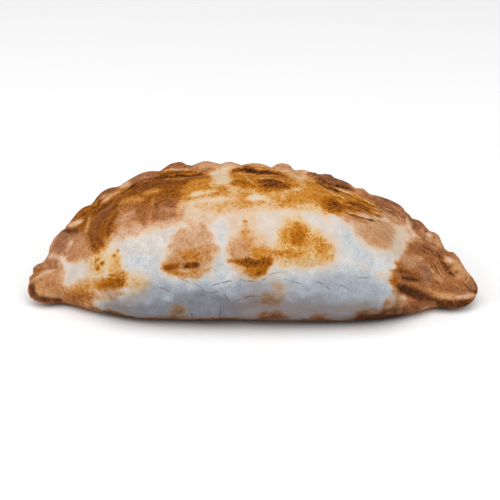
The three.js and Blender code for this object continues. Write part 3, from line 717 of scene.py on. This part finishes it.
def seen_points():
    """Each point of the crust, its normal, and the pixel where it is seen."""
    bpy.context.view_layer.update()
    points = skin_points()
    normals = np.empty(points.size)
    crust.data.vertex_normals.foreach_get("vector", normals)
    zoom = DISTANCE / ((np.array(camera.location) - points) @ np.array(view_back)) / PIXEL
    from_aim = points - np.array(AIM)
    spots = np.stack([
        PICTURE / 2 + from_aim @ np.array(view_right) * zoom,
        PICTURE / 2 - from_aim @ np.array(view_up) * zoom,
    ], axis=1)
    return points, normals.reshape(-1, 3), spots


def even_out(values, rounds):
    """Evens out a value between neighbouring points of the crust."""
    ends = np.empty(len(crust.data.edges) * 2, int)
    crust.data.edges.foreach_get("vertices", ends)
    first, second = ends.reshape(-1, 2).T
    neighbours = np.bincount(ends, minlength=len(values))
    for turn in range(rounds):
        total = np.bincount(first, values[second], len(values))
        total += np.bincount(second, values[first], len(values))
        values = total / neighbours
    return values


# What the crust itself hides from the camera gets no strokes
points, normals, spots = seen_points()
skin_tree = BVHTree.FromObject(crust, bpy.context.evaluated_depsgraph_get())
hidden = np.zeros(len(points))
for index, point in enumerate(points):
    to_camera = (camera.location - Vector(point)).normalized()
    hit = skin_tree.ray_cast(Vector(point) + to_camera * CLEAR, to_camera)[0]
    hidden[index] = hit is not None
front = np.zeros(len(points))
for rounds, whole in SIGHT_EDGES:
    front = np.maximum(front, rise(1 - even_out(hidden, rounds), 0, whole))

wander = np.zeros(len(points))
for reach, scale in WANDERS:
    wander += [reach * noise.noise(Vector(point) * scale * METRE) for point in points]


def measure(start, end):
    """For each point of the crust: how far it is from a line, how far to one side, and how far along."""
    step = np.array(end) - start
    offset = spots - start
    share = np.clip(offset @ step / (step @ step), 0, 1)
    away = np.linalg.norm(offset - share[:, None] * step, axis=1)
    aside = (offset[:, 1] * step[0] - offset[:, 0] * step[1]) / np.linalg.norm(step)
    return away, aside, share


def covered(stroke):
    """How far a stroke, which thins towards its ends, or a patch covers each point of the crust."""
    closed = stroke.wide == 0
    ends = stroke.path[1:] + stroke.path[:1] if closed else stroke.path[1:]
    away = np.full(len(spots), np.inf)
    inside = np.zeros(len(spots), bool)
    drawn = np.zeros(len(spots))
    length = 0
    for start, end in zip(stroke.path, ends):
        line_away, aside, share = measure(start, end)
        drawn = np.where(line_away < away, length + share * math.dist(start, end), drawn)
        length += math.dist(start, end)
        away = np.minimum(away, line_away)
        level = (start[1] > spots[:, 1]) != (end[1] > spots[:, 1])
        inside ^= level & ((aside > 0) == (end[1] > start[1]))
    if closed:
        away = np.where(inside, -away, away)
    wide = stroke.wide * (1 - np.abs(2 * drawn / length - 1) ** TAPER)
    return front * ease(0.5 - (away - wide + wander * stroke.soft) / (2 * stroke.soft))


# Relief that the oven and the fingers left, in millimetres: folds and blisters stand out, and
# creases lie low.
RELIEF = {
    "rim_lobe_left": Press([(162, 169), (172, 164.5), (186, 165)], 4, 4, 1),
    "rim_lobe_right": Press([(312, 175), (322, 174), (334, 179)], 4, 4, 0.9),
    "rim_fold_near": Press([(192, 168), (200, 165), (212, 163.5)], 3, 3, 0.8),
    "rim_fold_far": Press([(275, 169), (283, 166), (292, 169)], 3, 3, 1),
    "right_rim_lobe": Press([(372, 196), (388, 201), (402, 210)], 4, 4, 0.9),
    "left_tip": Press([(30, 281), (33, 273), (38, 267)], 3, 3, 1),
    "left_flap": Press([
        (32, 283), (36, 276.5), (48, 271), (62, 271), (63, 294), (45, 296), (32, 292),
    ], 0, 1.8, 0.6),
    "left_ray_one": Press([(66, 227), (76, 223), (85, 219)], 1.5, 1.8, 0.5),
    "left_ray_two": Press([(99, 204), (111, 196), (123, 188.5)], 1.6, 2, 0.5),
    "left_ray_three": Press([(118, 187), (130, 182), (143, 178.5)], 1.4, 2, 0.4),
    "left_finger": Press([(78, 236), (79, 248), (77, 258)], 3, 3, 0.5),
    "left_column": Press([(95, 230), (98, 248)], 5, 4, 0.4),
    "right_ray": Press([(408, 221), (411, 230), (416, 236)], 1.5, 1.8, 0.5),
    "right_tip_fleck": Press(oval(450, 259.5, 4.5, 4), 0, 2, 0.6),
    "right_tip_squiggle": Press([(422, 258.5), (426, 261.5), (430.5, 265), (433, 271)], 0.8, 1.4, 0.4),
    "right_tip_ridge": Press([(435, 263), (439, 270.5), (444, 276.5)], 0.8, 1.4, 0.4),
    "right_tip_roll": Press([(431, 291), (444, 294.5), (460, 297)], 2.2, 2.4, 0.5),
    "right_tip_plate": Press([(458, 265), (462, 273)], 3, 2.6, 0.4),
    "first_blister": Press(oval(190, 250, 24, 22), 0, 9, 0.8),
    "second_blister": Press(oval(251, 249, 19, 22), 0, 9, 0.8),
    "third_blister": Press(oval(304, 242, 24, 20), 0, 9, 0.8),
    "left_rim_dip": Press([(42, 259), (50, 247), (60, 233)], 3, 4, -0.9),
    "left_notch_low": Press([(46, 257), (52, 258.6), (60, 261)], 1.2, 2, -0.5),
    "left_notch_mid": Press([(67, 229.5), (74, 231.5), (82, 236)], 1.4, 2, -0.9),
    "left_notch_high": Press([(92, 205), (100, 206), (110, 201.5)], 1.2, 2, -0.5),
    "left_crease": Press([(86, 226), (87.5, 236), (86, 250)], 0.8, 1.6, -0.5),
    "left_crease_far": Press([(68, 262), (69, 250), (73, 240)], 1, 1.8, -0.4),
    "left_flap_crease": Press([
        (32, 277), (36, 273.6), (42, 270), (50, 267.6), (62, 267.4),
    ], 0.9, 1.5, -0.7),
    "right_valley": Press([(314, 178), (330, 183.5), (345, 188), (356, 192)], 1.2, 1.8, -0.4),
    "right_streak": Press([(351, 204), (363, 209), (374, 213.5)], 0.8, 1.5, -0.2),
    "right_streaks": Press([(348, 213), (358, 216), (374, 221)], 0.8, 2, -0.15),
    "right_rim_dip": Press([(430, 231), (444, 246), (456, 260)], 3, 4, -1),
    "right_notch": Press([(411, 219), (413, 227), (418, 233)], 1, 1.7, -0.7),
    "right_lobe_crease": Press([(421, 237), (430, 243), (439, 249)], 0.9, 1.6, -0.8),
    "right_tip_wrinkle": Press([(438, 250), (441, 261), (446, 271), (454, 276)], 1.2, 1.7, -1),
    "right_tip_wrinkle_side": Press([(444, 262), (450, 270)], 0.8, 1.4, -0.7),
    "right_tip_line": Press([(426, 260), (431, 266)], 0.6, 1.3, -0.6),
    "right_tip_line_two": Press([(431, 259), (436, 267.5), (440, 274)], 0.7, 1.4, -0.6),
    "right_tip_streak": Press([(390, 270), (408, 272.5), (421, 278)], 1, 1.8, -0.5),
    "right_tip_streak_low": Press([(402, 277.5), (412, 279.3), (423, 281)], 1.2, 1.8, -0.6),
    "right_tip_fold": Press([(398, 286), (410, 292), (422, 298), (436, 300)], 2, 3, -0.9),
    "right_tip_dip": Press([(435, 286), (450, 288.5), (464, 288.5)], 1.4, 2.2, -0.5),
    "right_end": Press([(466, 276), (466, 284), (470, 289), (475, 292.5)], 0.8, 1.5, -0.7),
}
HIGHEST = 0.001  # what a press of 1 raises, in metres

raised = np.zeros(len(points))
pressed = np.zeros(len(points))
for press in RELIEF.values():
    cover = covered(press)
    raised = np.maximum(raised, cover * press.height)
    pressed = np.maximum(pressed, cover * -press.height)
weigh("raised", np.minimum(raised, 1))
weigh("pressed", np.minimum(pressed, 1))
apply_modifier(crust, "DISPLACE", strength=HIGHEST, mid_level=0, vertex_group="raised")
apply_modifier(crust, "DISPLACE", strength=-HIGHEST, mid_level=0, vertex_group="pressed")
points, normals, spots = seen_points()

# Where no stroke reaches, the top browned in patches, the rim, the tips and the sole all over, and the
# flank hardly. Each span says where the place starts and where it is whole, in millimetres or as the
# upward part of the skin's normal. Each toast varies from patch to patch.
PATCHES = 0.06  # patches to the millimetre
PATCH_LAYERS = 0.8, 2, 4  # how fast finer layers fade, the step to the next, and how many
HEAT_SPAN = -0.45, 0.05
UNDER_SPAN = -0.6, -0.9
FLANK_SPAN = 0.6, 0.3
RIM_SPAN = 11, 6
TRAY_SPAN = 9, 1
TIP_SPAN = 46, 54
SIGHT_SPAN = 0, 0.22  # how far the skin has to face the camera for whole strokes on the dome
TOP_TOAST, TOP_VARIES, TOP_RANGE = 0.55, 0.5, (0.08, 0.86)
TRAY_TOAST, TRAY_VARIES, TRAY_RANGE = 0.3, 0.5, (0, 0.7)
TIP_TOAST, TIP_VARIES = 0.55, 0.2
RIM_TOAST, RIM_VARIES = 0.5, 0.15
SOLE_TOAST, SOLE_VARIES = 0.6, 0.2
FLANK_GOLD = 0.1
BACK_GOLD = 0.9
RIM_GOLD = 0.15
SOLE_GOLD = 0.5
BACK_COOL = 0.2
BACK_PAINTED_SHADE = 0.1
BACK_STREAKS = 0.4


def lay(under, over, cover):
    """One value laid over another, as far as it covers it."""
    return under + (over - under) * cover


patches = np.array([noise.fractal(Vector(point) * METRE * PATCHES, *PATCH_LAYERS) for point in points])
heat = rise(normals[:, 2], *HEAT_SPAN)
under = rise(normals[:, 2], *UNDER_SPAN)
at_rim = rise(rim_place[:, 1] * METRE, *RIM_SPAN)
at_tray = rise(points[:, 2] * METRE, *TRAY_SPAN)
at_tip = rise(np.abs(points[:, 0]) * METRE, *TIP_SPAN)

# On the dome, strokes also end where the skin turns away from the camera
facing = rise(normals @ np.array(view_back), *SIGHT_SPAN)
front *= np.maximum.reduce([facing, at_rim, rise(normals[:, 2], *FLANK_SPAN)])

toast = heat * np.clip(TOP_TOAST + TOP_VARIES * patches, *TOP_RANGE)
toast = np.maximum(toast, at_tray * np.clip(TRAY_TOAST + TRAY_VARIES * patches, *TRAY_RANGE))
toast *= 1 - front
toast = np.maximum(toast, at_tip * (TIP_TOAST + TIP_VARIES * patches))
toast = lay(toast, RIM_TOAST + RIM_VARIES * patches, at_rim)
toast = lay(toast, SOLE_TOAST + SOLE_VARIES * patches, under)
gold = lay(FLANK_GOLD, BACK_GOLD, heat * (1 - front))
gold = lay(gold, RIM_GOLD, at_rim)
gold = lay(gold, SOLE_GOLD, under)
for stroke in STROKES.values():
    cover = covered(stroke)
    toast = lay(toast, stroke.toast, cover)
    gold = lay(gold, stroke.gold, cover)
# Out of sight the flank gets a faint painted shade and the cool tint as well, as the front has.
out_of_sight = (1 - front) * (1 - heat)
painted_shade = BACK_PAINTED_SHADE * out_of_sight
for wash in PAINTED_UNDER_SHADE:
    painted_shade = lay(painted_shade, wash.strength, covered(wash))


def keep_on_crust(name, values):
    """Stores one value for each point of the crust, for its finish."""
    crust.data.attributes.new(name, "FLOAT", "POINT").data.foreach_set("value", values)


keep_on_crust("toast", toast)
keep_on_crust("gold", gold)
keep_on_crust("cool", np.maximum(COOL.strength * covered(COOL), BACK_COOL * out_of_sight))
keep_on_crust("painted_shade", painted_shade)
keep_on_crust("drawn_out", lay(BACK_STREAKS, 1, front))
for name, lines in (("vein", VEINS), ("crease", CREASES), ("crack", CRACKS)):
    nearest = np.full(len(spots), np.inf)
    to_side = np.zeros(len(spots))
    for path in lines:
        for start, end in zip(path, path[1:]):
            away, aside = measure(start, end)[:2]
            to_side = np.where(away < nearest, aside, to_side)
            nearest = np.minimum(away, nearest)
    keep_on_crust(name + "_side", to_side)
    keep_on_crust(name + "_near", front * ease(1 - nearest / LINE_FIELD))


# The finish: pale wheat dough, toasted where the skin rose nearest to the oven's heat. It reads what
# was stored on the crust, and adds all that is too fine to be stored there.
dough = bpy.data.materials.new("baked_dough")
dough.use_nodes = True
skin = dough.node_tree
surface = skin.nodes["Principled BSDF"]


def shade(code, cover=1):
    """A colour for the shader, from its six hex digits as seen on a screen."""
    parts = [int(code[i : i + 2], 16) / 255 for i in (0, 2, 4)]
    linear = [c / 12.92 if c <= 0.04045 else ((c + 0.055) / 1.055) ** 2.4 for c in parts]
    return (*linear, cover)


def add_node(kind, inputs=(), **settings):
    """Adds a node. Each input is set to a value, or linked to the socket that feeds it."""
    node = skin.nodes.new(kind)
    for name, value in settings.items():
        setattr(node, name, value)
    for socket, value in dict(inputs).items():
        if isinstance(value, bpy.types.NodeSocket):
            skin.links.new(value, node.inputs[socket])
        else:
            node.inputs[socket].default_value = value
    return node


def kept(name, part="Fac"):
    """What was stored for each point of the crust."""
    return add_node("ShaderNodeAttribute", attribute_name=name).outputs[part]


def work_out(operation, *values):
    """The result of one Math node."""
    return add_node("ShaderNodeMath", enumerate(values), operation=operation).outputs[0]


def product(first, *others):
    """Several values multiplied."""
    for other in others:
        first = work_out("MULTIPLY", first, other)
    return first


def add_up(start, parts):
    """A start value, and each part added with its weight."""
    for part, weight in parts:
        start = work_out("MULTIPLY_ADD", part, weight, start)
    return start


def stretch(vector, *scale):
    """A vector with each part scaled."""
    return add_node("ShaderNodeVectorMath", {0: vector, 1: scale}, operation="MULTIPLY").outputs[0]


def parts_of(vector):
    """The three parts of a vector."""
    return add_node("ShaderNodeSeparateXYZ", {0: vector}).outputs


def grain(vector, scale, detail, roughness, distortion=0):
    """Soft noise, scale patches to the millimetre."""
    inputs = {"Vector": vector, "Scale": scale, "Detail": detail, "Roughness": roughness}
    return add_node("ShaderNodeTexNoise", {**inputs, "Distortion": distortion}).outputs


def fade(value, start, end, low=0, high=1):
    """A smooth step from low at start to high at end."""
    inputs = {"Value": value, 1: start, 2: end, 3: low, 4: high}
    return add_node("ShaderNodeMapRange", inputs, interpolation_type="SMOOTHSTEP").outputs["Result"]


def blend(share, under, over, way="MIX"):
    """Two colours, one laid over the other."""
    inputs = {0: share, 6: under, 7: over}
    return add_node("ShaderNodeMix", inputs, data_type="RGBA", blend_type=way).outputs[2]


def ramp(value, stops):
    """A colour ramp, from the colour at each position."""
    node = add_node("ShaderNodeValToRGB", {0: value})
    elements = node.color_ramp.elements
    for position in list(stops)[2:]:
        elements.new(position)
    for element, (position, colour) in zip(elements, stops.items()):
        element.position = position
        element.color = colour
    return node.outputs


here = stretch(add_node("ShaderNodeTexCoord").outputs["Object"], METRE, METRE, METRE)
on_rim = kept("rim_place", "Vector")

# Toasted skin is never even: it is mottled and speckled, webbed with paler dough where it is golden, and
# drawn out into streaks along the rim, but not round the tips
STREAKS_ALONG = 0.09  # to the millimetre
STREAKS_ACROSS = 0.9
STREAKS_DEEP = 1.4
WEB_SWAY = 3, 3, 3

mottle = grain(here, scale=0.45, detail=5, roughness=0.66)["Fac"]
speckle = grain(here, scale=1.8, detail=3, roughness=0.75)["Fac"]
sway = grain(here, scale=0.4, detail=3, roughness=0.55)["Color"]
bent = add_node("ShaderNodeVectorMath", {0: sway, 1: WEB_SWAY, 2: here}, operation="MULTIPLY_ADD")
in_cells = {"Vector": bent.outputs[0], "Scale": 0.5}
cells = add_node("ShaderNodeTexVoronoi", in_cells, feature="DISTANCE_TO_EDGE")
web = product(
    fade(cells.outputs["Distance"], start=0.11, end=0.02),
    fade(mottle, start=0.4, end=0.56),
    fade(kept("gold"), start=0.1, end=0.8, low=0.25),
)
streak_place = stretch(on_rim, STREAKS_ALONG * METRE, STREAKS_ACROSS * METRE, 0)
streaks = grain(streak_place, scale=1, detail=4, roughness=0.6, distortion=0.6)["Fac"]
rim_away = parts_of(stretch(on_rim, METRE, METRE, METRE))["Y"]
place = parts_of(here)
near_rim = product(
    fade(rim_away, start=30, end=16),
    kept("drawn_out"),
    fade(place["X"], start=-56, end=-46),
    fade(place["X"], start=54, end=44),
    fade(place["Z"], start=12, end=19),
    fade(kept("gold"), start=0.2, end=0.8, low=0.3),
)


LINE_CORE = 0.2  # the share of a line's breadth that is whole


def line(name, wobble, broad):
    """A fine line of uneven width, from what was stored of its place, broad in pixels."""
    bend = fade(mottle, start=0.2, end=0.8, low=-wobble, high=wobble)
    to_side = work_out("ABSOLUTE", work_out("ADD", kept(name + "_side"), bend))
    return product(fade(to_side, start=broad, end=broad * LINE_CORE), kept(name + "_near"))


EVEN_TOAST = -0.53  # takes off what the mottle and the speckle add on average
uneven = add_up(EVEN_TOAST, (
    (mottle, 0.6),
    (speckle, 0.5),
    (web, -0.2),
    (work_out("MULTIPLY_ADD", streaks, STREAKS_DEEP, -STREAKS_DEEP / 2), near_rim),
    (line("vein", wobble=1.5, broad=1), -0.24),
    # The creases darken, partly as toast and partly as painted shade in the folds.
    (line("crease", wobble=1, broad=1.4), 0.17),
))
toasted = add_up(kept("toast"), [(uneven, fade(kept("toast"), start=0.04, end=0.35))])

# The bare dough: cream above, cool on the flank (partly a painted bluish cast of shade), and cloudy all
# over
clouds = add_up(grain(here, scale=0.2, detail=5, roughness=0.62)["Fac"], [(speckle, 0.8)])
colour = blend(kept("cool"), shade("c9c1b9"), shade("c3c7ca"))
colour = blend(1.0, colour, fade(clouds, start=0.6, end=1.2, low=0.78, high=1.08), "MULTIPLY")
colour = blend(1.0, colour, fade(mottle, start=0.3, end=0.7, low=0.92, high=1.08), "MULTIPLY")

# The toast over it, from a pink tan or from gold to black, thin at first
TAN = {
    0.0: shade("d6c6ba", cover=0),
    0.1: shade("d2c0b2", cover=0.5),
    0.2: shade("ccb09a", cover=0.95),
    0.3: shade("c09a80"),
    0.4: shade("b68a68"),
    0.5: shade("a87656"),
    0.6: shade("906044"),
    0.7: shade("785038"),
    0.8: shade("64402a"),
    0.9: shade("4c2e1e"),
    1.0: shade("2e1c12"),
}
GOLDEN = {
    0.0: shade("d8c6ae"),
    0.1: shade("d8be98"),
    0.2: shade("d2b07c"),
    0.3: shade("c99a5a"),
    0.4: shade("c0863c"),
    0.5: shade("b47220"),
    0.6: shade("a36010"),
    0.7: shade("8e4e0a"),
    0.8: shade("783f0a"),
    0.9: shade("5a300e"),
    1.0: shade("361c0e"),
}
tan = ramp(toasted, TAN)
baked = blend(kept("gold"), tan["Color"], ramp(toasted, GOLDEN)["Color"])
colour = blend(tan["Alpha"], colour, baked)

# Painted shade: the flank is darkened to grey where it turns under
PAINTED_SHADE_TINTS = {
    0.0: shade("ffffff"),
    0.4: shade("d6dae0"),
    0.75: shade("a6a3a9"),
    1.0: shade("8e847b"),
}
colour = blend(1.0, colour, ramp(kept("painted_shade"), PAINTED_SHADE_TINTS)["Color"], "MULTIPLY")

# Cracks: dark hairlines, open here and closed there
CRACK_SHARE = 0.64
cracked = product(line("crack", wobble=1.1, broad=1.1), fade(mottle, start=0.44, end=0.56, low=0.12))
colour = blend(product(cracked, CRACK_SHARE), colour, shade("66564c"))

# Pores, mottle and cracks are felt as well as seen, by these heights
PORES_HIGH = 0.00006
MOTTLE_HIGH = 0.00012
CRACKS_DEEP = -0.0002
pores = grain(here, scale=2.4, detail=3, roughness=0.6)["Fac"]
fine_relief = add_up(0, ((pores, PORES_HIGH), (mottle, MOTTLE_HIGH), (cracked, CRACKS_DEEP)))
bump = add_node("ShaderNodeBump", {"Height": fine_relief, "Distance": 1.0, "Strength": 1.0})

skin.links.new(colour, surface.inputs["Base Color"])
skin.links.new(fade(mottle, start=0.2, end=0.8, low=0.62, high=0.8), surface.inputs["Roughness"])
skin.links.new(bump.outputs[0], surface.inputs["Normal"])
surface.inputs["Specular IOR Level"].default_value = 0.05

crust.data.materials.clear()
crust.data.materials.append(dough)

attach(crust, "root")
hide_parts("empanada")


# The table: a plain white sheet of card under the pastry, so large that its edge is out of sight.
# It is stage only, and no part of the pastry.
FLOOR_SIZE = 6
CARD_WHITE = 0.93, 0.93, 0.93, 1
CARD_ROUGHNESS = 0.9

bpy.ops.object.select_all(action="DESELECT")
bpy.ops.mesh.primitive_plane_add(size=FLOOR_SIZE)
floor = bpy.context.active_object
floor.name = "floor"
card = bpy.data.materials.new("white_card")
card.use_nodes = True
card.node_tree.nodes["Principled BSDF"].inputs["Base Color"].default_value = CARD_WHITE
card.node_tree.nodes["Principled BSDF"].inputs["Roughness"].default_value = CARD_ROUGHNESS
floor.data.materials.append(card)


# The light: a broad soft box above the pastry, a weak one in front and one at each side, the left
# one the stronger, in a pale room.
ROOM_LIGHT = 0.32


def soft_box(name, place, size, watts):
    """A square lamp that looks at the pastry."""
    bpy.ops.object.light_add(type="AREA", location=place)
    lamp = bpy.context.active_object
    lamp.name = name
    lamp.rotation_euler = Vector(place).to_track_quat("Z", "Y").to_euler()
    lamp.data.size = size
    lamp.data.energy = watts


soft_box("overhead_box", place=(0.0, -0.2, 0.8), size=1.2, watts=6.8)
soft_box("front_box", place=(0.2, -0.9, 0.6), size=0.6, watts=1)
soft_box("left_box", place=(-0.8, -0.2, 0.5), size=0.5, watts=3)
soft_box("right_box", place=(0.8, -0.2, 0.5), size=0.5, watts=1.8)

room = bpy.data.worlds.new("room")
bpy.context.scene.world = room
room.use_nodes = True
room.node_tree.nodes["Background"].inputs["Color"].default_value = (1, 1, 1, 1)
room.node_tree.nodes["Background"].inputs["Strength"].default_value = ROOM_LIGHT
bpy.context.scene.view_settings.view_transform = "Standard"
